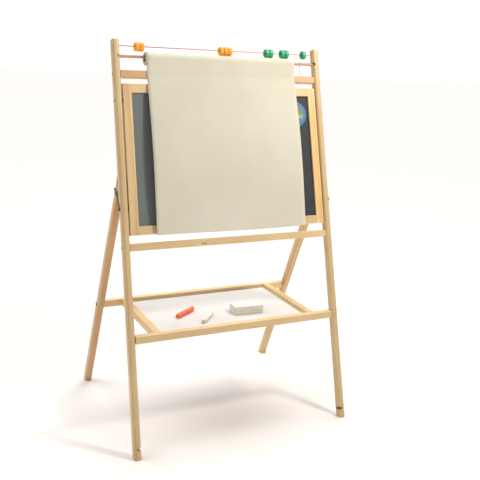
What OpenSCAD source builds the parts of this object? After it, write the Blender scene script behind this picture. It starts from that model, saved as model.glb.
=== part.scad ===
// Folding wooden easel for a child: two slim posts that lean back, a framed board between them,
// a bead wire and a paper roll above it, two hinged rear legs and a drop-in tray.
// Millimetres, +Z up, the front faces -Y, and the origin is on the floor under the middle.
//
// Most pieces are placed in the post frame: X across, Y behind the posts' front faces and
// Z along the posts from the front edge of the feet.

/* [Posts] */
// Overall width over the outer faces of the posts
overall_w = 640; // [560:10:720]
// Length of a post along its front edge
post_len = 1104; // [1070:1:1180]
// Width of a post, seen from the front
post_w = 20; // [18:1:24]
// Depth of a post, front to back
post_d = 24; // [23:0.5:28]
// How far the posts lean back
lean = 14.5; // [12:0.5:18]

/* [Rear legs] */
// Angle between a rear leg and the vertical
splay = 25.5; // [22:0.5:28]
// Height of the leg pivot along the post
pivot_s = 646; // [600:2:700]
// How far above the pivot the leg meets the post
apex_h = 54; // [48:1:64]

/* [Board and rails] */
// Height of the board frame's lower edge along the post
board_s = 575; // [560:1:590]
// Height of the board frame
board_h = 406; // [380:2:415]
// Width of the board frame's bars
board_bar = 24; // [20:1:30]
// Thickness of the board frame
board_t = 18; // [15:1:20]
// Side gap between the board and a post
board_gap = 3; // [2:0.5:6]
// Height and depth of the two rails
rail_t = 20; // [16:1:20]
// Middle of the lower rail along the post
lower_rail_s = 544; // [530:1:550]
// Middle of the upper rail along the post
upper_rail_s = 1008; // [1000:1:1015]

/* [Tray] */
// Height of the tray's top edges above the floor
tray_top = 302; // [260:2:360]
// Thickness of the tray's bars
tray_t = 20; // [18:1:24]
// Distance from the middle to a side bar's outer face
tray_side_x = 246; // [200:2:270]

/* [Paper and beads] */
// Height of the roll rod along the post
rod_s = 1057; // [1050:1:1065]
// Diameter of the roll rod
rod_dia = 8; // [6:0.5:10]
// Width of the paper
paper_w = 457; // [300:1:480]
// Diameter of the paper roll
paper_dia = 36; // [30:1:38]
// Height of the bead wire along the post
wire_s = 1086; // [1080:1:1090]
// Diameter of a bead
bead_dia = 25; // [18:1:28]
// Thickness of a bead
bead_t = 12; // [10:0.5:13]

/* [Hidden] */
$fn = 48;

wood = "burlywood";
steel = "dimgray";
out_x = overall_w / 2;             // outer face of a post
in_x = out_x - post_w;             // inner face of a post
mid_x = out_x - post_w / 2;        // middle of a post
edge_r = 7;                        // rounding of the posts
leg_r = 5;                         // rounding of the rear legs
slim_r = 1.5;                      // rounding of rails, frames and tray bars
play = 0.05;                       // radial clearance of screws, bolts and pegs
air = 0.3;                         // gap between pieces that move apart

opening = lean + splay;            // angle between a post and its leg
apex_s = pivot_s + apex_h;         // where the leg's front face meets the post
apex_y = apex_s * sin(lean) + post_d * cos(lean);
apex_z = apex_s * cos(lean) - post_d * sin(lean);
bevel_z = post_d / tan(opening);   // length of the bevel at the leg's top
foot_z = apex_z / cos(splay) + post_d * tan(splay);
total_y = apex_y + foot_z * sin(splay) + post_d * cos(splay);
front_y = -total_y / 2;            // front edge of the posts' feet

mid_y = post_d / 2;                // middle of a post's depth
board_x = in_x - board_gap;        // half width of the board frame
board_y = 3;                       // front face of the board frame
board_top = board_s + board_h;
groove_y = board_y + 6;            // front wall of the panel groove
groove_d = 6;
panel_t = 3;
panel_in = groove_d - 0.2;         // how far a panel enters its groove
board_screw_s = 935;
board_screw_y = 9;
rail_y = 3;                        // front face of the rails
screw_in = 40;                     // how far a rail screw reaches from the outer face
bolt_in = 38;                      // the same for the screws and bolts of the board
bolt_r = 3;
screw_r = 2;

tray_mid = tray_top - tray_t / 2;
tray_front = tray_mid * tan(lean) + 1.5;  // front face of the tray, from the posts' feet
leg_face = apex_y + (apex_z - tray_mid) * tan(splay);
pivot_y = leg_face + post_d / 2 / cos(splay) + 3;
tray_len = pivot_y + tray_t / 2 - tray_front;
tray_x = in_x - 1;                 // half width of the front and rear bars
panel_z = tray_top - 14;           // underside of the tray panel
tray_groove = 5.2;
peg_r = 4;
peg_y = tray_front + 10;
peg_z = tray_top - tray_t + peg_r;
peg_in = 10;                       // how far a peg stands out of its post
peg_brad_s = peg_y * sin(lean) + peg_z * cos(lean) + 3;
pivot_r = 2.5;

slot_r = rod_dia / 2 + 0.3;        // half height of a rod slot
slot_x = 7;                        // depth of a rod slot from the post's inner face
foot_slot_s = 28;                  // height of the lower slots along the post
foot_slot_x = 11;                  // their depth
rod_y = 11.7;                      // middle of the rod behind the posts' front faces
rod_x = in_x + slot_x - 1;
core_in = 8.5;                     // inner radius of the cardboard core
core_out = 9.7;
core_drop = core_in - rod_dia / 2 - 0.1;
roll_y = rod_y + core_drop * sin(lean);
roll_s = rod_s - core_drop * cos(lean);
sheet_t = 0.8;
sheet_in = paper_dia / 2 + air;    // inner radius of the sheet over the roll
sheet_low_s = 572;                 // lower edge of the sheet along the post
sheet_bow = 11;                    // how far the sheet bows forward of the board
sheet_rest = 1.9;                  // back of the sheet where it touches down
sheet_steps = 14;

wire_r = 1.25;
bead_hole = 2.5;
bead_drop = bead_hole - wire_r - 0.1;
// middles of the beads along the wire
orange_x = [-249.3, -236.7, 0, 12.9, 25.8];
green_x = [146.7, 159.3, 198.7, 211.3, 270.6];
hook_x = 257;
hook_wire = 0.9;                   // half thickness of the hook's wire
hook_eye = 5.6;                    // eye radius to the middle of the wire
hook_drop = hook_eye - hook_wire - rod_dia / 2 - 0.1;
hook_bend = 4;
hook_shank = 24;

// places children that are written in the post frame
module on_post() { translate([0, front_y, 0]) rotate([-lean, 0, 0]) children(); }

// places children that are written in a rear leg's frame: Y behind its front face, Z along it
module on_leg() { on_post() translate([0, post_d, apex_s]) rotate([opening, 0, 0]) children(); }

// places level children that are measured from the front edge of the posts' feet
module level() { translate([0, front_y, 0]) children(); }

module both_sides() { for (side = [-1, 1]) scale_x(side) children(); }
module scale_x(side) { if (side < 0) mirror([1, 0, 0]) children(); else children(); }

// a rectangle from the origin with rounded corners
module soft_rect(w, h, r) {
    translate([r, 0]) square([w - 2 * r, h]);
    translate([0, r]) square([w, h - 2 * r]);
    for (x = [r, w - r], y = [r, h - r]) translate([x, y]) circle(r = r, $fn = 32);
}

// a bar with soft edges, from the origin: along Z, along X and along Y
module bar_z(w, d, l, r) { linear_extrude(l) soft_rect(w, d, r); }
module bar_x(l, d, h, r) { translate([0, d, 0]) rotate([90, 0, 90]) mirror([1, 0]) bar_z(d, h, l, r); }
module bar_y(w, l, h, r) { translate([0, l, 0]) rotate([90, 0, 0]) bar_z(w, h, l, r); }

// a round pin along X from x0 to x1
module pin_x(r, x0, x1) { translate([x0, 0, 0]) rotate([0, 90, 0]) cylinder(r = r, h = x1 - x0); }

// a countersunk screw along X: its flat head lies flush at x1 and its tip is at x0
module flush_screw(r, x0, x1) {
    difference() {
        translate([x0, 0, 0]) rotate([0, 90, 0]) rotate_extrude()
            polygon([[0, 0], [0.6, 0], [r, 4], [r, x1 - x0 - r], [2 * r, x1 - x0], [0, x1 - x0]]);
        translate([x1 - 1, -r, -0.4]) cube([2, 2 * r, 0.8]);
        translate([x1 - 1, -0.4, -r]) cube([2, 0.8, 2 * r]);
    }
}
module flush_bore(r, x0, x1) {
    pin_x(r + play, x0, x1 + 1);
    translate([x1 - r, 0, 0]) rotate([0, 90, 0]) cylinder(r1 = r + play, r2 = 2 * r + play, h = r);
    pin_x(2 * r + play, x1, x1 + 1);
}

// a shallow domed head along X on the face at x, pointing outwards
module dome_head(r, h, x) {
    translate([x, 0, 0]) rotate([0, 90, 0]) rotate_extrude() intersection() {
        square([r, h]);
        translate([0, h - (r * r + h * h) / (2 * h)]) circle(r = (r * r + h * h) / (2 * h), $fn = 96);
    }
}

// ---- the posts ----

// front-open slot that an end of the roll rod drops into, from the post's inner face
module rod_slot(s, deep) {
    translate([in_x - 1, rod_y, s]) pin_x(slot_r, 0, deep + 1);
    translate([in_x - 1, -1, s - slot_r]) cube([deep + 1, rod_y + 1, 2 * slot_r]);
}

module post_holes() {
    rod_slot(rod_s, slot_x);
    rod_slot(foot_slot_s, foot_slot_x);
    for (s = [lower_rail_s, upper_rail_s])
        translate([0, rail_y + rail_t / 2, s]) flush_bore(screw_r, in_x - 1, out_x);
    translate([0, board_screw_y, board_screw_s]) flush_bore(screw_r, in_x - 1, out_x);
    translate([0, mid_y, pivot_s]) pin_x(bolt_r + play, in_x - 1, out_x + 1);
    translate([0, mid_y, wire_s]) pin_x(wire_r + play, in_x - 1, in_x + 10);
    for (s = [pivot_s, peg_brad_s]) translate([mid_x, -1, s]) brad_bore();
}
module brad_bore() { rotate([-90, 0, 0]) cylinder(r = 1.2 + play, h = 8.6, $fn = 24); }

module post() {
    difference() {
        on_post() difference() {
            intersection() {
                translate([in_x, 0, -10]) bar_z(post_w, post_d, post_len + 10, edge_r);
                translate([in_x, 0, -20]) bar_y(post_w, post_d, post_len + 20, edge_r);
                translate([in_x, 0, -20]) bar_x(post_w, post_d, post_len + 20, edge_r);
            }
            post_holes();
        }
        level() translate([0, peg_y, peg_z]) pin_x(peg_r + play, in_x - 1, in_x + 8 + play);
        level() translate([in_x - 1, -20, -40]) cube([post_w + 2, 80, 40]);
    }
}
module post_left() { color(wood) mirror([1, 0, 0]) post(); }
module post_right() { color(wood) post(); }

// ---- rails and bead wire ----

module rail(s) {
    on_post() difference() {
        translate([-in_x, rail_y, s - rail_t / 2]) bar_x(2 * in_x, rail_t, rail_t, slim_r);
        both_sides() translate([0, rail_y + rail_t / 2, s]) pin_x(screw_r + play, out_x - screw_in, in_x + 1);
    }
}
module upper_rail() { color(wood) rail(upper_rail_s); }
module lower_rail() { color(wood) rail(lower_rail_s); }
module rail_screws() {
    color(steel) on_post() both_sides() for (s = [lower_rail_s, upper_rail_s])
        translate([0, rail_y + rail_t / 2, s]) flush_screw(screw_r, out_x - screw_in, out_x);
}
module abacus_wire() {
    color("peru") on_post() translate([0, mid_y, wire_s]) pin_x(wire_r, -in_x - 9, in_x + 9);
}

// ---- the board: two stiles, two bars, a black panel in front and a white one behind ----

module stile() {
    on_post() difference() {
        translate([board_x - board_bar, board_y, board_s]) bar_z(board_bar, board_t, board_h, slim_r);
        translate([board_x - board_bar - 1, groove_y, board_s + board_bar - groove_d])
            cube([groove_d + 1, 2 * panel_t, board_h - 2 * board_bar + 2 * groove_d]);
        translate([0, mid_y, pivot_s]) pin_x(bolt_r + play, out_x - bolt_in, board_x + 1);
        translate([0, board_screw_y, board_screw_s]) pin_x(screw_r + play, out_x - bolt_in, board_x + 1);
        for (s = [board_s + board_bar / 2, board_top - board_bar / 2])
            translate([0, mid_y, s]) pin_x(4 + play, board_x - board_bar - 1, board_x - board_bar + 15);
    }
}
module board_stile_left() { color(wood) mirror([1, 0, 0]) stile(); }
module board_stile_right() { color(wood) stile(); }

module board_bar_at(s, groove_s) {
    inner = board_x - board_bar;
    on_post() difference() {
        translate([-inner, board_y, s]) bar_x(2 * inner, board_t, board_bar, slim_r);
        translate([-inner - 1, groove_y, groove_s]) cube([2 * inner + 2, 2 * panel_t, groove_d + 1]);
        both_sides() translate([0, mid_y, s + board_bar / 2]) pin_x(4 + play, inner - 15, inner + 1);
    }
}
module board_top_bar() { color(wood) board_bar_at(board_top - board_bar, board_top - board_bar - 1); }
module board_bottom_bar() { color(wood) board_bar_at(board_s, board_s + board_bar - groove_d); }
module board_dowels() {
    inner = board_x - board_bar;
    color("tan") on_post() both_sides() for (s = [board_s + board_bar / 2, board_top - board_bar / 2])
        translate([0, mid_y, s]) pin_x(4, inner - 14, inner + 14);
}

module board_panel(y) {
    half = board_x - board_bar + panel_in;
    low = board_s + board_bar - panel_in;
    on_post() translate([-half, y, low]) cube([2 * half, panel_t, board_h - 2 * board_bar + 2 * panel_in]);
}
module chalkboard_panel() { color([0.16, 0.18, 0.2]) board_panel(groove_y); }
module whiteboard_panel() { color("white") board_panel(groove_y + panel_t); }
module round_sticker() {
    color("lightseagreen") on_post() translate([226, groove_y, 903])
        rotate([90, 0, 0]) cylinder(r = 39, h = 0.3, $fn = 72);
}
module board_screws() {
    color(steel) on_post() both_sides()
        translate([0, board_screw_y, board_screw_s]) flush_screw(screw_r, out_x - bolt_in, out_x);
}
module board_spacers() {
    color("saddlebrown") on_post() both_sides() {
        translate([0, board_screw_y, board_screw_s]) spacer(screw_r, 5.5);
        translate([0, mid_y, pivot_s]) spacer(bolt_r, 8);
    }
}
module spacer(r, r_out) {
    difference() { pin_x(r_out, board_x, in_x); pin_x(r + play, board_x - 1, in_x + 1); }
}

// ---- hinges ----

// the bolt is fixed in the post and the board stile, and the strap turns on it outside the post
module hinge_bolts() {
    color(steel) on_post() both_sides() translate([0, mid_y, pivot_s]) {
        pin_x(bolt_r, out_x - bolt_in, out_x + 2.6);
        dome_head(5.5, 3, out_x + 2.6);
    }
}
module tray_pegs() {
    color(wood) level() both_sides() translate([0, peg_y, peg_z]) pin_x(peg_r, in_x - peg_in, in_x + 8);
}
module lock_brads() {
    color(steel) on_post() both_sides() for (s = [pivot_s, peg_brad_s])
        translate([mid_x, 0, s]) rotate([-90, 0, 0]) cylinder(r = 1.2, h = 7.4, $fn = 24);
}

// pivot and strap screw places in a leg's frame, as [Y, Z]
strap_pivot = [
    (mid_y - post_d) * cos(opening) - apex_h * sin(opening),
    (post_d - mid_y) * sin(opening) - apex_h * cos(opening)
];
strap_screw = [[4.5, -15], [16, -10.5]];
strap_w = 8;
strap_t = 2;

module rear_leg() {
    difference() {
        on_leg() difference() {
            translate([in_x, 0, -foot_z - 20]) bar_z(post_w, post_d, foot_z + 20 + bevel_z, leg_r);
            for (p = strap_screw) translate([0, p[0], p[1]]) pin_x(1.75 + play, out_x - 12, out_x + 1);
        }
        on_post() translate([in_x - 1, -60, apex_s - 60]) cube([post_w + 2, post_d + 60 + air, 160]);
        level() translate([0, pivot_y, tray_mid]) pin_x(pivot_r + play, in_x - 1, out_x + 1);
        level() translate([in_x - 1, total_y - 80, -40]) cube([post_w + 2, 120, 40]);
    }
}
module rear_leg_left() { color(wood) mirror([1, 0, 0]) rear_leg(); }
module rear_leg_right() { color(wood) rear_leg(); }

// flat strap with round ends from the pivot bolt to the two screws on the leg
module hinge_strap() {
    end = strap_screw[1];
    run = end - strap_pivot;
    on_leg() difference() {
        translate([0, strap_pivot[0], strap_pivot[1]]) rotate([atan2(run[1], run[0]), 0, 0]) {
            pin_x(strap_w / 2, out_x + air, out_x + air + strap_t);
            translate([0, norm(run), 0]) pin_x(strap_w / 2, out_x + air, out_x + air + strap_t);
            translate([out_x + air, 0, -strap_w / 2]) cube([strap_t, norm(run), strap_w]);
        }
        translate([0, strap_pivot[0], strap_pivot[1]]) pin_x(bolt_r + play, out_x, out_x + 4);
        for (p = strap_screw) translate([0, p[0], p[1]]) pin_x(1.75 + play, out_x, out_x + 4);
    }
}
module hinge_strap_left() { color(steel) mirror([1, 0, 0]) hinge_strap(); }
module hinge_strap_right() { color(steel) hinge_strap(); }
module strap_screws() {
    color(steel) on_leg() both_sides() for (p = strap_screw) translate([0, p[0], p[1]]) {
        pin_x(1.75, out_x - 12, out_x + air + strap_t);
        dome_head(3.4, 1.8, out_x + air + strap_t);
    }
}

// ---- the tray ----

module side_dowel_bores(y) {
    both_sides() translate([tray_side_x - 10, y, tray_mid])
        rotate([-90, 0, 0]) cylinder(r = 4 + play, h = 14.5 + tray_t);
}
module cross_bar(y) {
    translate([-tray_x, y, tray_top - tray_t]) bar_x(2 * tray_x, tray_t, tray_t, slim_r);
}
module panel_groove(y) {
    half = tray_side_x - tray_t + tray_groove;
    translate([-half, y, panel_z - 0.1]) cube([2 * half, tray_groove, panel_t + 0.2]);
}
module tray_front_bar() {
    color(wood) level() difference() {
        cross_bar(tray_front);
        panel_groove(tray_front + tray_t - tray_groove);
        side_dowel_bores(tray_front + tray_t - 13.5);
        both_sides() translate([tray_x - peg_in - 1.5, peg_y - peg_r - 1, tray_top - tray_t - 1])
            cube([peg_in + 4, tray_t, 2 * peg_r + 1 + air]);
    }
}
module tray_rear_bar() {
    color(wood) level() difference() {
        cross_bar(pivot_y - tray_t / 2);
        panel_groove(pivot_y - tray_t / 2);
        side_dowel_bores(pivot_y - tray_t / 2 + 13.5 - 14.5 - tray_t);
        both_sides() translate([0, pivot_y, tray_mid]) pin_x(pivot_r + play, out_x - 45, tray_x + 1);
    }
}
module tray_side() {
    from = tray_front + tray_t;
    len = tray_len - 2 * tray_t;
    level() difference() {
        translate([tray_side_x - tray_t, from, tray_top - tray_t]) bar_y(tray_t, len, tray_t, slim_r);
        translate([tray_side_x - tray_t - 1, from - 1, panel_z - 0.1])
            cube([tray_groove + 1, len + 2, panel_t + 0.2]);
        for (y = [from - 1, from + len - 14]) translate([tray_side_x - 10, y, tray_mid])
            rotate([-90, 0, 0]) cylinder(r = 4 + play, h = 15);
    }
}
module tray_side_left() { color(wood) mirror([1, 0, 0]) tray_side(); }
module tray_side_right() { color(wood) tray_side(); }
module tray_panel() {
    half = tray_side_x - tray_t + tray_groove - 0.2;
    from = tray_front + tray_t - tray_groove + 0.2;
    color("whitesmoke") level() translate([-half, from, panel_z])
        cube([2 * half, tray_len - 2 * tray_t + 2 * tray_groove - 0.4, panel_t]);
}
module tray_dowels() {
    color("tan") level() both_sides()
        for (y = [tray_front + tray_t - 13, pivot_y - tray_t / 2 - 13])
            translate([tray_side_x - 10, y, tray_mid]) rotate([-90, 0, 0]) cylinder(r = 4, h = 26);
}
module tray_pivot_screws() {
    color(steel) level() both_sides() translate([0, pivot_y, tray_mid]) {
        pin_x(pivot_r, out_x - 45, out_x + air);
        dome_head(4.5, 2.5, out_x + air);
    }
}

// ---- paper ----

module roll_rod() { color("tan") on_post() translate([0, rod_y, rod_s]) pin_x(rod_dia / 2, -rod_x, rod_x); }

module tube_x(r_in, r_out, half) {
    translate([-half, 0, 0]) rotate([90, 0, 90]) linear_extrude(2 * half) difference() {
        circle(r = r_out, $fn = 96);
        circle(r = r_in, $fn = 96);
    }
}
module paper_core() {
    color("tan") on_post() translate([0, roll_y, roll_s]) tube_x(core_in, core_out, paper_w / 2 + 1);
}
module paper_roll() {
    color("ivory") on_post() translate([0, roll_y, roll_s]) tube_x(core_out, paper_dia / 2, paper_w / 2);
}

// back face of the sheet: over the roll from its top to where it leaves it at a tangent, then a
// free drop to the upper rail, and a bowed hang down the board. Points are [Y, Z] in the post frame.
sheet_touch = upper_rail_s + 4;
drop_run = [sheet_rest - roll_y, sheet_touch - roll_s];
sheet_leave = atan2(drop_run[1], drop_run[0]) + 360 - acos(sheet_in / norm(drop_run));
sheet_wrap = 10;
function sheet_arc(r) = [
    for (i = [0:sheet_wrap]) let (a = 90 + (sheet_leave - 90) * i / sheet_wrap)
        [roll_y + r * cos(a), roll_s + r * sin(a)]
];
function sheet_hang(lift) = [
    for (i = [sheet_steps:-1:0])
        [sheet_rest - lift - sheet_bow * sin(180 * i / sheet_steps),
            sheet_low_s + (sheet_touch - sheet_low_s) * i / sheet_steps]
];
function sheet_side(lift) = concat(sheet_arc(sheet_in + lift), sheet_hang(lift));
function backwards(list) = [for (i = [len(list) - 1:-1:0]) list[i]];
module sheet_outline() { polygon(concat(sheet_side(0), backwards(sheet_side(sheet_t)))); }
module paper_sheet() {
    color("antiquewhite") on_post() translate([-paper_w / 2, 0, 0])
        rotate([90, 0, 90]) linear_extrude(paper_w) sheet_outline();
}

// hook of thin wire that hangs on the rod by its eye
module wire_hook() {
    color("silver") on_post() translate([hook_x, rod_y, rod_s]) rotate([lean, 0, 0])
        translate([0, 0, -hook_drop]) {
            rotate([0, 90, 0]) ring(hook_eye);
            translate([0, 0, -hook_eye - hook_shank]) cylinder(r = hook_wire, h = hook_shank + 0.5, $fn = 24);
            translate([hook_bend, 0, -hook_eye - hook_shank]) intersection() {
                rotate([90, 0, 0]) ring(hook_bend);
                translate([-20, -5, -20]) cube([40, 10, 20]);
            }
            translate([2 * hook_bend, 0, -hook_eye - hook_shank]) {
                cylinder(r = hook_wire, h = 4, $fn = 24);
                translate([0, 0, 4]) sphere(r = 1.3, $fn = 24);
            }
        }
}
module ring(r) { rotate_extrude($fn = 48) translate([r, 0]) circle(r = hook_wire, $fn = 24); }

// ---- beads ----

// a turned disc with a round rim, dished faces and a wide hole
module bead(x) {
    rim = 2.6;
    dish = 24;
    on_post() translate([x, mid_y, wire_s]) rotate([lean, 0, 0]) translate([0, 0, -bead_drop])
        rotate([0, 90, 0]) rotate_extrude($fn = 72) difference() {
            union() {
                translate([bead_hole, -bead_t / 2]) square([bead_dia / 2 - rim - bead_hole, bead_t]);
                translate([bead_hole, rim - bead_t / 2])
                    square([bead_dia / 2 - bead_hole, bead_t - 2 * rim]);
                for (y = [-1, 1]) translate([bead_dia / 2 - rim, y * (bead_t / 2 - rim)])
                    circle(r = rim, $fn = 48);
            }
            for (y = [-1, 1]) translate([0, y * (bead_t / 2 + dish - 1.8)]) circle(r = dish, $fn = 144);
        }
}
module bead_orange_1() { color("orange") bead(orange_x[0]); }
module bead_orange_2() { color("orange") bead(orange_x[1]); }
module bead_orange_3() { color("orange") bead(orange_x[2]); }
module bead_orange_4() { color("orange") bead(orange_x[3]); }
module bead_orange_5() { color("orange") bead(orange_x[4]); }
module bead_green_1() { color("seagreen") bead(green_x[0]); }
module bead_green_2() { color("seagreen") bead(green_x[1]); }
module bead_green_3() { color("seagreen") bead(green_x[2]); }
module bead_green_4() { color("seagreen") bead(green_x[3]); }
module bead_green_5() { color("seagreen") bead(green_x[4]); }

// ---- loose things on the tray ----

module on_tray(x, y, turn) {
    level() translate([x, y, panel_z + panel_t + air]) rotate([0, 0, turn]) children();
}
module chalk(r, len) { translate([-len / 2, 0, r]) rotate([0, 90, 0]) cylinder(r = r, h = len); }
module chalk_red() { color("tomato") on_tray(-107, 225, 36) chalk(7, 80); }
module chalk_white() { color("white") on_tray(-59, 169, 49) chalk(6, 80); }
module eraser_felt() {
    color("gainsboro") on_tray(72, 190, -3) translate([-45, -24, 0]) bar_z(90, 48, 8, 4);
}
module eraser_block() {
    color("white") on_tray(72, 190, -3) translate([-45, -24, 8]) bar_z(90, 48, 16, 4);
}

post_left();
post_right();
upper_rail();
lower_rail();
rail_screws();
abacus_wire();
board_stile_left();
board_stile_right();
board_top_bar();
board_bottom_bar();
board_dowels();
chalkboard_panel();
whiteboard_panel();
round_sticker();
board_screws();
board_spacers();
hinge_bolts();
tray_pegs();
lock_brads();
rear_leg_left();
rear_leg_right();
hinge_strap_left();
hinge_strap_right();
strap_screws();
tray_front_bar();
tray_rear_bar();
tray_side_left();
tray_side_right();
tray_panel();
tray_dowels();
tray_pivot_screws();
roll_rod();
paper_sheet();
paper_core();
paper_roll();
wire_hook();
bead_orange_1();
bead_orange_2();
bead_orange_3();
bead_orange_4();
bead_orange_5();
bead_green_1();
bead_green_2();
bead_green_3();
bead_green_4();
bead_green_5();
chalk_red();
chalk_white();
eraser_block();
eraser_felt();
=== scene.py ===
import math

import bmesh
import bpy
from mathutils import Matrix, Vector


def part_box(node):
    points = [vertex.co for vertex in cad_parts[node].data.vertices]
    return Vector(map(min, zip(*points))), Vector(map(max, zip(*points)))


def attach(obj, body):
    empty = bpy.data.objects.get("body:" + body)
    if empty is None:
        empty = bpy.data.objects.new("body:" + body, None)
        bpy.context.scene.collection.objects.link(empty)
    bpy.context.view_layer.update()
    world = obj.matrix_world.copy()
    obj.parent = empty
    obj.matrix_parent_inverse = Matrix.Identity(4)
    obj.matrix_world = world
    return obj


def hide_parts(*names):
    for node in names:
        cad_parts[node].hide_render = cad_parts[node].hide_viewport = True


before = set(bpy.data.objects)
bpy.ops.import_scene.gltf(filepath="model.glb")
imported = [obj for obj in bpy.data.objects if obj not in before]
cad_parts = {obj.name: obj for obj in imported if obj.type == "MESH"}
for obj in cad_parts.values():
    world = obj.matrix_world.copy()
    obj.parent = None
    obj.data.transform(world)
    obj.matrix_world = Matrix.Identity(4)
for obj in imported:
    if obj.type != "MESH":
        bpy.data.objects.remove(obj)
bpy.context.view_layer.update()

# ---------------------------------------------------------------- studio
# A pale sweep of seamless paper in a bright surround. Two broad lights from behind, left and
# right, and a small one in front at the upper right keep the shadows soft and faint.


def linear(hex_colour, alpha=1.0):
    """sRGB hex to the linear colour that a shader takes."""
    value = hex_colour.lstrip("#")
    parts = [int(value[i : i + 2], 16) / 255 for i in (0, 2, 4)]
    return tuple(
        c / 12.92 if c <= 0.04045 else ((c + 0.055) / 1.055) ** 2.4 for c in parts
    ) + (alpha,)


def add_node(tree, kind, settings=None, **links):
    """Adds a node, sets its properties and sockets, and links the sockets given an output."""
    node = tree.nodes.new(kind)
    for name, value in (settings or {}).items():
        if hasattr(node, name) and name not in node.inputs:
            setattr(node, name, value)
        else:
            node.inputs[name].default_value = value
    for name, source in links.items():
        socket = node.inputs[int(name[1:]) if name[0] == "_" else name]
        if isinstance(source, bpy.types.NodeSocket):
            tree.links.new(source, socket)
        else:
            socket.default_value = source
    return node


def remap(tree, value, start, end, low, high):
    """Turns start into low and end into high, and holds both beyond."""
    limits = {"From Min": start, "From Max": end, "To Min": low, "To Max": high}
    return add_node(tree, "ShaderNodeMapRange", limits, Value=value).outputs[0]


def start_material(name, **surface):
    """A new material with a Principled shader whose own sockets take the given values."""
    material = bpy.data.materials.new(name)
    material.use_nodes = True
    tree = material.node_tree
    shader = tree.nodes["Principled BSDF"]
    for key, value in surface.items():
        shader.inputs[key.replace("_", " ")].default_value = value
    return material, tree, shader


FLOOR_HALF = 30.0
SURROUND_LIGHT, SURROUND_SEEN = 0.27, 1.05
sweep = start_material(
    "seamless_paper", Base_Color=linear("#E9E4E1"), Roughness=0.9, Specular_IOR_Level=0.1
)[0]
bm = bmesh.new()
bmesh.ops.create_grid(bm, x_segments=2, y_segments=2, size=FLOOR_HALF)
floor_mesh = bpy.data.meshes.new("floor")
bm.to_mesh(floor_mesh)
bm.free()
floor = bpy.data.objects.new("floor", floor_mesh)
bpy.context.scene.collection.objects.link(floor)
floor_mesh.materials.append(sweep)

# the surround is seen as white, and lights the easel with about a quarter of that
world = bpy.data.worlds.new("surround")
world.use_nodes = True
tree = world.node_tree
tree.nodes["Background"].inputs["Color"].default_value = linear("#FFFFFF")
seen_directly = add_node(tree, "ShaderNodeLightPath").outputs["Is Camera Ray"]
tree.links.new(
    remap(tree, seen_directly, 0.0, 1.0, SURROUND_LIGHT, SURROUND_SEEN),
    tree.nodes["Background"].inputs["Strength"],
)
bpy.context.scene.world = world
bpy.context.scene.view_settings.view_transform = "Standard"


def add_light(name, kind, strength, hex_colour, facing):
    """A light whose back points along facing."""
    data = bpy.data.lights.new(name, kind)
    data.energy = strength
    data.color = linear(hex_colour)[:3]
    lamp = bpy.data.objects.new(name, data)
    bpy.context.scene.collection.objects.link(lamp)
    lamp.rotation_euler = Vector(facing).to_track_quat("Z", "Y").to_euler()
    return lamp


def broad_light(name, direction, spread, strength, hex_colour):
    """Far light that reaches the whole sweep evenly, soft by its spread in degrees."""
    lamp = add_light(name, "SUN", strength, hex_colour, direction)
    lamp.data.angle = math.radians(spread)


def soft_light(name, place, target, size, watts, hex_colour):
    """A square soft box that faces its target."""
    lamp = add_light(name, "AREA", watts, hex_colour, Vector(place) - Vector(target))
    lamp.data.shape = "SQUARE"
    lamp.data.size = size
    lamp.location = place


broad_light("back_left_light", (-1.6, 1.0, 2.8), 50, 1.9, "#FFFFFF")
broad_light("back_right_light", (1.4, 1.2, 3.2), 42, 1.85, "#FFFFFF")
soft_light("upper_right_light", (0.84, -1.0, 1.85), (0.0, 0.0, 0.8), 0.3, 21, "#FFFAF0")

CAMERA_PLACE = (-0.8739, -1.9931, 1.0395)
CAMERA_YAW = math.radians(28.07)
CAMERA_PITCH = math.radians(-8.70)
CAMERA_ROLL = math.radians(2.84)
ahead = Vector(
    (
        math.sin(CAMERA_YAW) * math.cos(CAMERA_PITCH),
        math.cos(CAMERA_YAW) * math.cos(CAMERA_PITCH),
        math.sin(CAMERA_PITCH),
    )
)
level_right = ahead.cross(Vector((0, 0, 1))).normalized()
level_up = level_right.cross(ahead)
right = math.cos(CAMERA_ROLL) * level_right + math.sin(CAMERA_ROLL) * level_up
upward = -math.sin(CAMERA_ROLL) * level_right + math.cos(CAMERA_ROLL) * level_up
camera_data = bpy.data.cameras.new("camera")
camera_data.lens = 56.26
camera_data.sensor_width = 36
camera_data.shift_x = -0.0727
camera_data.shift_y = -0.1427
camera = bpy.data.objects.new("camera", camera_data)
bpy.context.scene.collection.objects.link(camera)
turned = Matrix((right, upward, -ahead)).transposed().to_4x4()
camera.matrix_world = Matrix.Translation(CAMERA_PLACE) @ turned
bpy.context.scene.camera = camera

# ---------------------------------------------------------------- posts
# Two planed pine bars with rounded edges that lean back. Holes for the wire, screws, bolts and
# pegs are drilled, and a short slot near the top and near the foot takes the paper's rod.
LEAN = math.radians(14.5)
SPLAY = math.radians(25.5)
FRONT_FOOT_Y = -0.272737
ON_POST = (LEAN, 0.0, 0.0)
ON_LEG = (-SPLAY, 0.0, 0.0)
ALONG_X = (0.0, math.radians(-90), 0.0)
LEANING_X = (LEAN, math.radians(-90), 0.0)


def on_post(x, behind, along):
    """A point given across, behind the posts' front faces and along the posts."""
    return Vector(
        (
            x,
            FRONT_FOOT_Y + along * math.sin(LEAN) + behind * math.cos(LEAN),
            along * math.cos(LEAN) - behind * math.sin(LEAN),
        )
    )


def own_place(tree):
    """Where a point lies on its object, in metres."""
    return add_node(tree, "ShaderNodeTexCoord").outputs["Object"]


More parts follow.
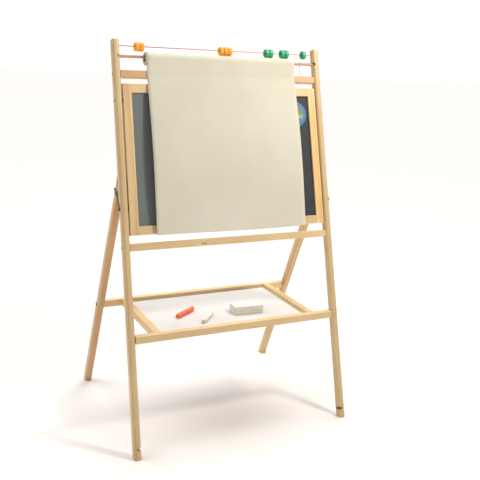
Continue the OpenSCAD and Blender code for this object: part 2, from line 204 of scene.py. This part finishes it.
def vector_math(tree, operation, first, second=(0.0, 0.0, 0.0)):
    """Two vectors worked together; a distance or a length comes out as a number."""
    done = add_node(
        tree, "ShaderNodeVectorMath", {"operation": operation}, _0=first, _1=second
    )
    return done.outputs["Value" if operation in ("DISTANCE", "LENGTH") else "Vector"]


def multiply_add(tree, value, factor, more):
    return add_node(
        tree, "ShaderNodeMath", {"operation": "MULTIPLY_ADD"}, _0=value, _1=factor, _2=more
    ).outputs[0]


def noise(tree, place, scale, detail, **more):
    """Soft noise from 0 to 1, with its largest cells 1000 / scale millimetres wide."""
    settings = {"Scale": scale, "Detail": detail, **more}
    return add_node(tree, "ShaderNodeTexNoise", settings, Vector=place).outputs["Fac"]


def blend(tree, share, *tones):
    """A mix of two tones, each a hex colour or a node's output."""
    first, second = (linear(tone) if isinstance(tone, str) else tone for tone in tones)
    return add_node(
        tree, "ShaderNodeMix", {"data_type": "RGBA"}, _0=share, _6=first, _7=second
    ).outputs[2]


def add_relief(tree, shader, height, strength, depth):
    """Fine relief that is too small for the mesh, with its depth in metres."""
    bump = add_node(
        tree, "ShaderNodeBump", {"Strength": strength, "Distance": depth}, Height=height
    )
    tree.links.new(bump.outputs[0], shader.inputs["Normal"])


def pine(name, turn, pith, pale="#E2CA9C", late="#BE935A", blush="#D2AD7B", knots=()):
    """Planed pine under a thin satin lacquer: straight rings seen edge-on as soft stripes along
    the bar, fine fibres, and slow changes of tone. turn brings the bar's length onto Z, pith is
    where the middle of the tree lay beside the bar, and knots are the middles of pin knots."""
    material, tree, shader = start_material(
        name, Coat_Weight=0.18, Coat_Roughness=0.28, IOR=1.5
    )
    place = own_place(tree)
    bar = add_node(
        tree, "ShaderNodeMapping", {"Rotation": turn, "Location": pith}, Vector=place
    ).outputs[0]
    # growth rings 3 mm apart, drawn out along the bar
    rings = add_node(
        tree,
        "ShaderNodeTexWave",
        {
            "wave_type": "RINGS",
            "rings_direction": "Z",
            "wave_profile": "SAW",
            "Scale": 95.0,
            "Distortion": 2.6,
            "Detail": 2.0,
            "Detail Scale": 0.55,
        },
        Vector=vector_math(tree, "MULTIPLY", bar, (1.0, 1.0, 0.035)),
    ).outputs["Fac"]
    # fibres 0.6 mm wide and some 40 mm long
    along_fibres = vector_math(tree, "MULTIPLY", bar, (1.0, 1.0, 0.015))
    fibres = noise(tree, along_fibres, 1600.0, 3.0, Roughness=0.6)
    # slow changes of tone, 40 mm across the bar and 180 mm along it
    patches = noise(tree, vector_math(tree, "MULTIPLY", bar, (1.6, 1.6, 0.35)), 16.0, 2.0)
    ring_share = remap(tree, rings, 0.35, 1.0, 0.0, 0.55)
    toned = blend(tree, remap(tree, patches, 0.35, 0.7, 0.0, 0.7), pale, blush)
    ringed = blend(tree, ring_share, toned, late)
    colour = blend(tree, remap(tree, fibres, 0.52, 0.78, 0.0, 0.35), ringed, late)
    for knot in knots:
        # a dark knot 5 mm across with a soft rim
        from_knot = vector_math(tree, "DISTANCE", place, tuple(knot))
        colour = blend(tree, remap(tree, from_knot, 0.0018, 0.0036, 0.8, 0.0), colour, "#6E5A2C")
    tree.links.new(colour, shader.inputs["Base Color"])
    tree.links.new(remap(tree, fibres, 0.3, 0.7, 0.36, 0.52), shader.inputs["Roughness"])
    add_relief(tree, shader, multiply_add(tree, ring_share, -0.5, fibres), 0.25, 0.0002)
    return material


def coat(node, material):
    """Gives a CAD piece its finish."""
    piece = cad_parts[node]
    piece.data.materials.clear()
    piece.data.materials.append(material)


# painted shade: the posts get a darker copy of the pine tones than the board, standing in for the
# shade on their faces
SHADED_POST_PINE = {"pale": "#D6BF93", "late": "#B38B55", "blush": "#C7A577"}
coat("post_left", pine("pine_post_left", ON_POST, (0.352, -0.031, 0.10), **SHADED_POST_PINE))
coat("post_right", pine("pine_post_right", ON_POST, (-0.269, 0.262, 0.70), **SHADED_POST_PINE))

# ---------------------------------------------------------------- rails and bead wire
# Two planed pine rails between the posts, each held by a screw through either post. The wire
# above them is copper-coated spring steel, pushed into a blind hole in each post.
# painted shade: the upper rail gets a darker, more orange copy of the pine tones, standing in for
# the shade that falls on it
SHADED_RAIL_PINE = {"pale": "#D4AF80", "late": "#AC7C46", "blush": "#C8945E"}
KNOTS = [on_post(x, 0.003, 0.5405) for x in (-0.0953, -0.0872)]
coat("upper_rail", pine("pine_upper_rail", LEANING_X, (-0.96, 0.045, 0.2), **SHADED_RAIL_PINE))
coat("lower_rail", pine("pine_lower_rail", LEANING_X, (-0.58, -0.038, 0.5), knots=KNOTS))


def worked_metal(name, hex_colour, worn_hex, dull, metallic=1.0):
    """Metal with a thin finish: slightly uneven gloss, and a lighter tone where it is worn."""
    material, tree, shader = start_material(name, Metallic=metallic)
    # blotches of about 3 mm
    blotches = noise(tree, own_place(tree), 330.0, 3.0)
    colour = blend(tree, remap(tree, blotches, 0.4, 0.75, 0.0, 1.0), hex_colour, worn_hex)
    tree.links.new(colour, shader.inputs["Base Color"])
    gloss = remap(tree, blotches, 0.3, 0.7, dull - 0.08, dull + 0.1)
    tree.links.new(gloss, shader.inputs["Roughness"])
    return material


blackened_steel = worked_metal("blackened_steel", "#5A5048", "#7E7268", 0.42)
coat("rail_screws", blackened_steel)
coat("abacus_wire", worked_metal("copper_coated_wire", "#B06A50", "#C98A6C", 0.32))

# ---------------------------------------------------------------- board
# A frame of four dowelled pine bars, grooved all round. A hardboard panel with slate paint lies
# in front and one with a white enamel behind, back to back in the same groove.
# painted light: the right stile gets a brighter, more golden copy of the pine tones, standing in
# for the light that falls on the right side
LIT_STILE_PINE = {"pale": "#F2D098", "late": "#D2A062", "blush": "#DEB67C"}
coat(
    "board_stile_left",
    pine("pine_stile_left", ON_POST, (0.31, -0.045, 0.3), pale="#EACD9D"),
)
coat(
    "board_stile_right",
    pine("pine_stile_right", ON_POST, (-0.25, 0.05, 0.9), **LIT_STILE_PINE),
)
coat(
    "board_top_bar",
    pine("pine_top_bar", LEANING_X, (-0.93, 0.06, 0.4), pale="#E6CA9A"),
)
coat("board_bottom_bar", pine("pine_bottom_bar", LEANING_X, (-0.55, 0.07, 0.1)))
beech = pine(
    "beech_dowel", ALONG_X, (-0.8, 0.004, 0.3), pale="#C79B78", late="#9C6A4A", blush="#B98565"
)
coat("board_dowels", beech)

slate, tree, shader = start_material("slate_paint_on_hardboard", Roughness=0.6, IOR=1.4)
place = own_place(tree)
# wiped chalk: strokes about 110 mm long and 35 mm high, slanted as an arm wipes
wiping = add_node(
    tree,
    "ShaderNodeMapping",
    {"Rotation": (0.0, 0.6, 0.0), "Scale": (1.0, 1.0, 3.2)},
    Vector=place,
).outputs[0]
strokes = noise(tree, wiping, 9.0, 5.0, Roughness=0.6, Distortion=0.5)
# painted reflection: the panel is drawn lighter towards its left side, standing in for the bright
# surround it reflects there
across = add_node(tree, "ShaderNodeSeparateXYZ", _0=place).outputs[0]
painted_reflection_left = remap(tree, across, 0.1, -0.26, 0.0, 0.5)
dust_and_reflection = multiply_add(tree, strokes, 0.09, painted_reflection_left)
tree.links.new(blend(tree, dust_and_reflection, "#2E3235", "#8D9694"), shader.inputs["Base Color"])
# paint grain of about 1 mm
add_relief(tree, shader, noise(tree, place, 900.0, 2.0), 0.3, 0.0002)
coat("chalkboard_panel", slate)


def white_board(name, hex_colour, dull, smears):
    """White coated hardboard: even and smooth, with faint grey or dusty smears from use."""
    material, tree, shader = start_material(
        name, Roughness=dull, IOR=1.5, Coat_Weight=0.3, Coat_Roughness=0.12
    )
    place = own_place(tree)
    # smears of about 70 mm
    smear = noise(tree, place, 14.0, 4.0, Distortion=0.8)
    colour = blend(tree, remap(tree, smear, 0.5, 0.8, 0.0, smears), hex_colour, "#CFC6BE")
    tree.links.new(colour, shader.inputs["Base Color"])
    # orange peel of the coating, waves of about 4 mm
    add_relief(tree, shader, noise(tree, place, 250.0, 1.0), 0.08, 0.0002)
    return material


coat("whiteboard_panel", white_board("white_enamel_on_hardboard", "#F1F0EC", 0.2, 0.25))
coat("board_screws", blackened_steel)

rubber, tree, shader = start_material("brown_rubber", Roughness=0.7)
# bloom in spots of about 2.5 mm
bloom = noise(tree, own_place(tree), 400.0, 3.0)
tree.links.new(blend(tree, bloom, "#4A2C16", "#6B4426"), shader.inputs["Base Color"])
coat("board_spacers", rubber)

# ---------------------------------------------------------------- round sticker
# A thin printed disc stuck on the upper right of the dark panel. It has a blue rim, a teal ring
# and a patchwork middle of green, grey, pink and blue shapes that stand for nothing.
STICKER_MIDDLE = on_post(0.226, 0.0087, 0.903)
TEAL_FROM, RIM_FROM = 0.0273, 0.0312
sticker_print, tree, shader = start_material(
    "glossy_printed_paper", Roughness=0.3, Coat_Weight=0.3, IOR=1.48
)
from_middle = vector_math(tree, "SUBTRACT", own_place(tree), tuple(STICKER_MIDDLE))
# shapes of about 20 mm, each of one tone
patchwork = add_node(
    tree, "ShaderNodeTexVoronoi", {"Scale": 52.0, "Randomness": 1.0}, Vector=from_middle
)
patch_tone = add_node(tree, "ShaderNodeSeparateColor", _0=patchwork.outputs["Color"]).outputs[0]
patches = add_node(tree, "ShaderNodeValToRGB", _0=patch_tone)
patches.color_ramp.interpolation = "CONSTANT"
stops = patches.color_ramp.elements
stops[0].color = linear("#6FA322")
stops[1].color = linear("#4F8FBE")
stops[1].position = 0.72
for step, hex_colour in ((0.3, "#A9ACA4"), (0.52, "#B4608E")):
    stops.new(step).color = linear(hex_colour)
colour = patches.outputs[0]
radius = vector_math(tree, "LENGTH", from_middle)
for ring_start, hex_colour in ((TEAL_FROM, "#3E94A0"), (RIM_FROM, "#4C7FB2")):
    beyond = add_node(
        tree, "ShaderNodeMath", {"operation": "GREATER_THAN"}, _0=radius, _1=ring_start
    ).outputs[0]
    colour = blend(tree, beyond, colour, hex_colour)
tree.links.new(colour, shader.inputs["Base Color"])
coat("round_sticker", sticker_print)

# ---------------------------------------------------------------- hinges and rear legs
# A dark flat strap turns on the bolt in each post and is screwed to the leg's outer face. The
# legs are pine bars like the posts, cut on a bevel at the top to lie against the post's back.
dark_bronze = worked_metal("dark_bronzed_steel", "#75593D", "#98795A", 0.45, metallic=0.5)
for node in ("hinge_strap_left", "hinge_strap_right", "hinge_bolts"):
    coat(node, dark_bronze)
for node in ("strap_screws", "lock_brads"):
    coat(node, blackened_steel)
coat("tray_pegs", pine("pine_pegs", ALONG_X, (-0.2, 0.1, 0.2)))
coat(
    "rear_leg_left",
    pine("pine_leg_left", ON_LEG, (0.36, 0.03, 0.2), pale="#CEAA80", blush="#BF8E62"),
)
coat(
    "rear_leg_right",
    pine("pine_leg_right", ON_LEG, (-0.27, -0.04, 0.6), pale="#D8BA8A", blush="#C69D6A"),
)

# ---------------------------------------------------------------- tray
# Four dowelled pine bars around a white coated hardboard panel. Its rear bar turns on a screw in
# each leg, and its front bar rests on the pegs in the posts.
ALONG_Y = (math.radians(90), 0.0, 0.0)
coat("tray_front_bar", pine("pine_tray_front", ALONG_X, (-0.25, 0.22, 0.3), pale="#DDC598"))
# painted light: the rear bar's pine is toned lighter, standing in for the light on its top face
coat(
    "tray_rear_bar",
    pine("pine_tray_rear", ALONG_X, (-0.34, -0.09, 0.9), pale="#F0D4A4", blush="#DEBB8A"),
)
coat("tray_side_left", pine("pine_tray_left", ALONG_Y, (0.27, 0.34, 0.1), pale="#E3C594"))
coat("tray_side_right", pine("pine_tray_right", ALONG_Y, (-0.2, 0.26, 0.5), pale="#E6C894"))
coat("tray_panel", white_board("white_coated_hardboard", "#DDDAD6", 0.34, 0.3))
coat("tray_dowels", beech)
coat("tray_pivot_screws", blackened_steel)

# ---------------------------------------------------------------- rod and paper roll
# A turned beech rod lies in the posts' upper slots. The drawing paper is wound on a cardboard
# core that hangs loose on it, so the core's hollow shows under the rod.
ROLL_RADIUS = 0.018
CORE_RADIUS = 0.0097
PAPER_HALF = 0.2285
ROLL_STEPS = 72
coat("roll_rod", beech)

core_board, tree, shader = start_material("spiral_wound_board", Roughness=0.85)
place = own_place(tree)
# the board's winding seam, a dark stripe every 80 mm
seam = add_node(
    tree,
    "ShaderNodeTexWave",
    {"bands_direction": "DIAGONAL", "Scale": 7.8, "Distortion": 0.3},
    Vector=place,
).outputs["Fac"]
# pulp of about 1.4 mm
pulp = noise(tree, place, 700.0, 4.0)
seam_share = multiply_add(tree, remap(tree, seam, 0.9, 1.0, 0.2, 0.8), pulp, 0.0)
tree.links.new(blend(tree, seam_share, "#A88A66", "#6B5238"), shader.inputs["Base Color"])
add_relief(tree, shader, pulp, 0.4, 0.0002)
coat("paper_core", core_board)


def drawing_paper(name, hex_colour, shade_hex):
    """Uncoated drawing paper: warm white pulp, soft cloudiness, fine tooth, and a little light
    coming through it."""
    material, tree, shader = start_material(
        name,
        Roughness=0.88,
        IOR=1.45,
        Specular_IOR_Level=0.25,
        Subsurface_Weight=0.35,
        Subsurface_Radius=(0.0012, 0.001, 0.0008),
        Subsurface_Scale=1.0,
    )
    place = own_place(tree)
    # clouds of about 200 mm
    clouds = noise(tree, place, 5.0, 3.0)
    # pulp flecks of about 2 mm, drawn larger than real fibres so that they show
    flecks = noise(tree, place, 520.0, 4.0, Roughness=0.7)
    spread = remap(tree, multiply_add(tree, flecks, 0.35, clouds), 0.5, 0.9, 0.0, 0.7)
    tree.links.new(blend(tree, spread, hex_colour, shade_hex), shader.inputs["Base Color"])
    add_relief(tree, shader, flecks, 0.15, 0.0002)
    return material


def middle_of(node):
    """The middle of a CAD piece's box."""
    low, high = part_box(node)
    return (low + high) / 2


def new_piece(name, bm, material, smooth=True):
    """Makes a piece of a finished bmesh, with smooth faces unless told otherwise."""
    mesh = bpy.data.meshes.new(name)
    bm.to_mesh(mesh)
    bm.free()
    for polygon in mesh.polygons:
        polygon.use_smooth = smooth
    mesh.materials.append(material)
    piece = bpy.data.objects.new(name, mesh)
    bpy.context.scene.collection.objects.link(piece)
    return piece


def turned_shape(half_outline, middle, steps):
    """Spins an outline round a line along X. It is given as (x, radius) from the inner to the
    outer end of its right half, and the left half mirrors that."""
    bm = bmesh.new()
    outline = half_outline + [(-x, r) for x, r in reversed(half_outline)]
    ring = [bm.verts.new(middle + Vector((x, 0, r))) for x, r in outline]
    for a, b in zip(ring, ring[1:] + ring[:1]):
        bm.edges.new((a, b))
    bmesh.ops.spin(
        bm,
        geom=bm.verts[:] + bm.edges[:],
        cent=middle,
        axis=(1, 0, 0),
        angle=math.tau,
        steps=steps,
        use_merge=True,
    )
    bmesh.ops.remove_doubles(bm, verts=bm.verts, dist=1e-6)
    bmesh.ops.recalc_face_normals(bm, faces=bm.faces)
    return bm


# the wound layers end a little unevenly, so the roll's ends show fine steps
END_STEPS = (0.0, 0.0006, 0.0002, 0.0009, 0.0004, 0.0007, 0.0001, 0.0008, 0.0003)
layer = (ROLL_RADIUS - CORE_RADIUS) / len(END_STEPS)
profile = []
for i, inset in enumerate(END_STEPS):
    inner = CORE_RADIUS + i * layer
    profile += [(PAPER_HALF - inset, inner), (PAPER_HALF - inset, inner + layer * 0.98)]
cream_paper = drawing_paper("uncoated_drawing_paper", "#D8D2BF", "#CDC5AF")
bm = turned_shape(profile, middle_of("paper_roll"), ROLL_STEPS)
roll = new_piece("wound_paper", bm, cream_paper, smooth=False)
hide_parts("paper_roll")
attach(roll, "paper")

# ---------------------------------------------------------------- hanging sheet
# The free end of the paper comes over the roll, drops past the rails and hangs down the board.
# It keeps some of its curl, so it bows forward and its lower corners stand off.
ROD_BEHIND, ROD_ALONG = 0.0117, 1.057
ROLL_DROP = 0.0044  # from the rod's middle to the roll's
ARC_RADIUS = ROLL_RADIUS + 0.0003
ARC_START, LEAVE_ANGLE = math.radians(90), math.radians(190.74)
ARC_LENGTH = ARC_RADIUS * (LEAVE_ANGLE - ARC_START)
TOUCH_BEHIND, TOUCH_ALONG = 0.0019, 1.012
SHEET_END = 0.572
HANG_BOW = 0.0105
RIGHT_CURL, LEFT_CURL = 0.008, 0.006
WAVE_DEPTH = 0.0016
END_FLICK = 0.003
END_SAG = 0.004
NARROWING = 0.0035
PAPER_THICK = 0.0004
ACROSS_STEPS, DOWN_STEPS = 44, 130
roll_behind = ROD_BEHIND + ROLL_DROP * math.sin(LEAN)
roll_along = ROD_ALONG - ROLL_DROP * math.cos(LEAN)
leave_behind = roll_behind + ARC_RADIUS * math.cos(LEAVE_ANGLE)
leave_along = roll_along + ARC_RADIUS * math.sin(LEAVE_ANGLE)
drop_length = math.hypot(leave_behind - TOUCH_BEHIND, leave_along - TOUCH_ALONG)
hang_length = TOUCH_ALONG - SHEET_END
sheet_length = ARC_LENGTH + drop_length + hang_length


def sheet_point(across, down):
    """Where a point of the sheet lies: across from 0 to 1, and down its length from 0 to 1."""
    x = (across - 0.5) * 2 * PAPER_HALF
    run = down * sheet_length
    if run < ARC_LENGTH:
        angle = ARC_START + (LEAVE_ANGLE - ARC_START) * run / ARC_LENGTH
        behind = roll_behind + ARC_RADIUS * math.cos(angle)
        along = roll_along + ARC_RADIUS * math.sin(angle)
    elif run < ARC_LENGTH + drop_length:
        part = (run - ARC_LENGTH) / drop_length
        behind = leave_behind + (TOUCH_BEHIND - leave_behind) * part
        along = leave_along + (TOUCH_ALONG - leave_along) * part
    else:
        part = (run - ARC_LENGTH - drop_length) / hang_length
        along = TOUCH_ALONG - part * hang_length
        behind = TOUCH_BEHIND - HANG_BOW * math.sin(math.pi * part)
        side = 2 * across - 1
        # the edges and above all the lower corners curl forward, and a slow wave runs across
        right_edge, left_edge = max(0.0, side) ** 4, max(0.0, -side) ** 5
        curl = part**2 * (RIGHT_CURL * right_edge + LEFT_CURL * left_edge)
        wave = WAVE_DEPTH * math.sin(math.pi * part) * (1 + math.sin(7.5 * across + 2.2 * part))
        last_tenth = max(0.0, part - 0.9) / 0.1
        flick = END_FLICK * last_tenth * (0.6 + 0.4 * math.sin(5 * across))
        behind -= curl + wave + flick
        along -= END_SAG * part**3 * math.sin(math.pi * across) * across
        x *= 1 - NARROWING * part * side * side
    return on_post(x, behind, along)


bm = bmesh.new()
bmesh.ops.create_grid(bm, x_segments=ACROSS_STEPS, y_segments=DOWN_STEPS, size=0.5)
for vert in bm.verts:
    vert.co = sheet_point(vert.co.x + 0.5, 0.5 - vert.co.y)
bmesh.ops.recalc_face_normals(bm, faces=bm.faces)
hanging_paper = drawing_paper("hanging_drawing_paper", "#D8D3C2", "#CBC4B1")
hanging = new_piece("hanging_sheet", bm, hanging_paper)
thickness = hanging.modifiers.new("thickness", "SOLIDIFY")
thickness.thickness = PAPER_THICK
thickness.offset = 1.0
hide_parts("paper_sheet")
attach(hanging, "rod")

# ---------------------------------------------------------------- wire hook
# A small hook of white-coated wire, which hangs on the rod by its closed eye.
coat("wire_hook", worked_metal("white_coated_wire", "#E4E0DC", "#C9B6AA", 0.35, metallic=0.0))

# ---------------------------------------------------------------- beads
# Ten turned wooden discs with a bore much wider than the wire, dipped in glossy enamel: five
# orange and five green.
BEAD_RADIUS, BEAD_HALF, BEAD_BORE, BEAD_RIM = 0.0125, 0.006, 0.0025, 0.0026
BORE_EDGE, BORE_CHAMFER = 0.0004, 0.0006
DISH_RADIUS, DISH_DEPTH = 0.024, 0.0018
DISH_STEPS, RIM_STEPS, BEAD_STEPS = 6, 10, 64


def enamel(name, hex_colour, deep_hex):
    """Thick glossy enamel: saturated, a little darker where it pools, with slight orange peel."""
    material, tree, shader = start_material(
        name, Roughness=0.42, Coat_Weight=0.2, Coat_Roughness=0.2, IOR=1.5
    )
    place = own_place(tree)
    # pools of about 11 mm
    pools = noise(tree, place, 90.0, 2.0)
    tree.links.new(blend(tree, pools, hex_colour, deep_hex), shader.inputs["Base Color"])
    # orange peel of about 2.4 mm
    add_relief(tree, shader, noise(tree, place, 420.0, 1.0), 0.12, 0.0003)
    return material


def bead_profile():
    """Half the outline of a bead as (along the wire, radius), from the bore over the dished
    face and the round rim."""
    bore_end = BEAD_BORE + BORE_EDGE
    dish_middle = DISH_RADIUS - DISH_DEPTH
    dish_edge = math.sqrt(DISH_RADIUS**2 - dish_middle**2)
    points = []
    for i in range(DISH_STEPS + 1):
        r = bore_end + (dish_edge - bore_end) * i / DISH_STEPS
        points.append((BEAD_HALF + dish_middle - math.sqrt(DISH_RADIUS**2 - r**2), r))
    for i in range(1, RIM_STEPS + 1):
        a = math.pi / 2 * (1 - i / RIM_STEPS)
        points.append(
            (
                BEAD_HALF - BEAD_RIM + BEAD_RIM * math.sin(a),
                BEAD_RADIUS - BEAD_RIM + BEAD_RIM * math.cos(a),
            )
        )
    return [(points[0][0] - BORE_CHAMFER, BEAD_BORE)] + points


for colour_name, hex_colour, deep_hex in (
    ("orange", "#FFAE1E", "#FA9410"),
    ("green", "#29AA76", "#178F5E"),
):
    enamel_coat = enamel(f"{colour_name}_enamel", hex_colour, deep_hex)
    for number in range(1, 6):
        node = f"bead_{colour_name}_{number}"
        bm = turned_shape(bead_profile(), middle_of(node), BEAD_STEPS)
        disc = new_piece(f"turned_{node}", bm, enamel_coat)
        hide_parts(node)
        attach(disc, node)

# ---------------------------------------------------------------- chalks
# Two round sticks of pressed chalk, moulded with a softly chamfered end. One is hardly used, and
# the other is worn to a slant at its tip and smudged with darker dust.
CHALK_LENGTH = 0.080
CHALK_SIDES, CHALK_RINGS = 40, 9
MOST_SMUDGED = 0.6


def lay_down(bm, turn, middle):
    """Turns a shape about the vertical and moves it to its place."""
    level = Matrix.Rotation(turn, 3, "Z")
    bmesh.ops.rotate(bm, verts=bm.verts, cent=(0, 0, 0), matrix=level)
    bmesh.ops.translate(bm, verts=bm.verts, vec=middle)


def slice_up(bm, point, normal):
    """Cuts every face along a plane, so that there are more points to move."""
    everything = bm.verts[:] + bm.edges[:] + bm.faces[:]
    bmesh.ops.bisect_plane(bm, geom=everything, plane_co=point, plane_no=normal)


def chalk_stick(node, radius, turn, slant, hex_colour, smudge_hex):
    """A stick of chalk with its tip worn off by slant, turned in degrees on the tray."""
    material, tree, shader = start_material(
        f"pressed_{node}", Roughness=0.95, Specular_IOR_Level=0.15
    )
    place = own_place(tree)
    # smudges of about 9 mm
    share = remap(tree, noise(tree, place, 110.0, 4.0), 0.45, 0.72, 0.0, MOST_SMUDGED)
    tree.links.new(blend(tree, share, hex_colour, smudge_hex), shader.inputs["Base Color"])
    # powdery grain of about 0.7 mm
    add_relief(tree, shader, noise(tree, place, 1400.0, 3.0), 0.5, 0.0003)
    bm = bmesh.new()
    bmesh.ops.create_cone(
        bm,
        cap_ends=True,
        segments=CHALK_SIDES,
        radius1=radius * 0.93,
        radius2=radius,
        depth=CHALK_LENGTH,
    )
    ends = [e for e in bm.edges if len({round(v.co.z, 5) for v in e.verts}) == 1]
    bmesh.ops.bevel(
        bm, geom=ends, offset=radius * 0.22, segments=4, profile=0.5, affect="EDGES", material=-1
    )
    for step in range(1, CHALK_RINGS):
        slice_up(bm, (0, 0, CHALK_LENGTH * (step / CHALK_RINGS - 0.5)), (0, 0, 1))
    for vert in bm.verts:
        # the worn tip slants off, and the sides have been rubbed slightly out of round
        if vert.co.z > CHALK_LENGTH / 2 - radius:
            vert.co.z -= slant * max(0.0, vert.co.x + radius * 0.2)
        around = math.atan2(vert.co.y, vert.co.x)
        rub = 1 - 0.02 * (1 + math.sin(2 * around + vert.co.z * 90)) / 2
        vert.co.x *= rub
        vert.co.y *= rub
    onto_side = Matrix.Rotation(math.pi / 2, 3, "Y")
    bmesh.ops.rotate(bm, verts=bm.verts, cent=(0, 0, 0), matrix=onto_side)
    lay_down(bm, math.radians(turn), middle_of(node))
    stick = new_piece(f"{node}_stick", bm, material)
    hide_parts(node)
    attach(stick, node)


chalk_stick("chalk_red", 0.007, 36, 0.15, "#FA7E60", "#E2604A")
chalk_stick("chalk_white", 0.006, 49, 0.9, "#E6DED4", "#B9AEA2")

# ---------------------------------------------------------------- eraser
# A block of dense off-white foam glued on a thick layer of wool felt, greyed with chalk dust.
ERASER_TURN = math.radians(-3)
ERASER_CORNER = 0.004
ERASER_CUTS = (16, 8, 3)
FOAM_SIZE, FOAM_CROWN, FOAM_EDGE = (0.090, 0.048, 0.016), 0.0008, 0.0018
FELT_SIZE, FELT_CROWN, FELT_EDGE = (0.090, 0.048, 0.008), 0.0006, 0.0012


def soft_block(name, node, size, crown, edge, material):
    """A cut block with softened edges and slightly hollow sides, laid where the CAD piece lies."""
    bm = bmesh.new()
    bmesh.ops.create_cube(bm, size=1.0)
    bmesh.ops.scale(bm, vec=size, verts=bm.verts)
    upright = [e for e in bm.edges if abs(e.verts[0].co.z - e.verts[1].co.z) > size[2] / 2]
    bmesh.ops.bevel(
        bm,
        geom=upright,
        offset=ERASER_CORNER,
        segments=6,
        profile=0.5,
        affect="EDGES",
        material=-1,
    )
    rims = [e for e in bm.edges if abs(e.verts[0].co.z - e.verts[1].co.z) < 1e-6]
    bmesh.ops.bevel(
        bm, geom=rims, offset=edge, segments=3, profile=0.5, affect="EDGES", material=-1
    )
    for axis, count in enumerate(ERASER_CUTS):
        for step in range(1, count):
            point = [0.0, 0.0, 0.0]
            normal = [0.0, 0.0, 0.0]
            point[axis] = size[axis] * (step / count - 0.5)
            normal[axis] = 1.0
            slice_up(bm, point, normal)
    for vert in bm.verts:
        u, v = vert.co.x / size[0] * 2, vert.co.y / size[1] * 2
        lump = math.sin(9 * u + 2 * v) * math.sin(7 * v - 3 * u)
        if vert.co.z > size[2] * 0.3:
            vert.co.z -= crown * (0.5 + 0.5 * lump) * (1 - u * u) * (1 - v * v)
        vert.co.y -= crown * 0.8 * v * (1 - u * u) * (1 - (vert.co.z / size[2] * 2) ** 2)
    lay_down(bm, ERASER_TURN, middle_of(node))
    block = new_piece(name, bm, material)
    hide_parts(node)
    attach(block, "eraser")
    return block


foam, tree, shader = start_material("dense_foam", Roughness=0.95, Specular_IOR_Level=0.2)
place = own_place(tree)
# dusty patches of about 22 mm
dusty = remap(tree, noise(tree, place, 45.0, 4.0), 0.4, 0.75, 0.0, 0.6)
tree.links.new(blend(tree, dusty, "#E6E2DA", "#D2C9B8"), shader.inputs["Base Color"])
# open cells of about 1.5 mm
cells = add_node(tree, "ShaderNodeTexVoronoi", {"Scale": 650.0}, Vector=place).outputs["Distance"]
add_relief(tree, shader, cells, 0.6, 0.0005)
foam_block = soft_block(
    "eraser_foam_block", "eraser_block", FOAM_SIZE, FOAM_CROWN, FOAM_EDGE, foam
)

felt, tree, shader = start_material(
    "pressed_wool_felt", Roughness=0.97, Sheen_Weight=0.4, Sheen_Roughness=0.5
)
# matted tufts about 6 mm long and 1.6 mm thick, pressed flat along the layer
pressed = vector_math(tree, "MULTIPLY", own_place(tree), (0.6, 0.6, 2.4))
matted = noise(tree, pressed, 260.0, 6.0, Roughness=0.7, Distortion=1.5)
tree.links.new(blend(tree, matted, "#F2EBDC", "#E2D8C6"), shader.inputs["Base Color"])
add_relief(tree, shader, matted, 0.8, 0.0008)
soft_block(
    "eraser_felt_pad", "eraser_felt", FELT_SIZE, FELT_CROWN, FELT_EDGE, felt
)
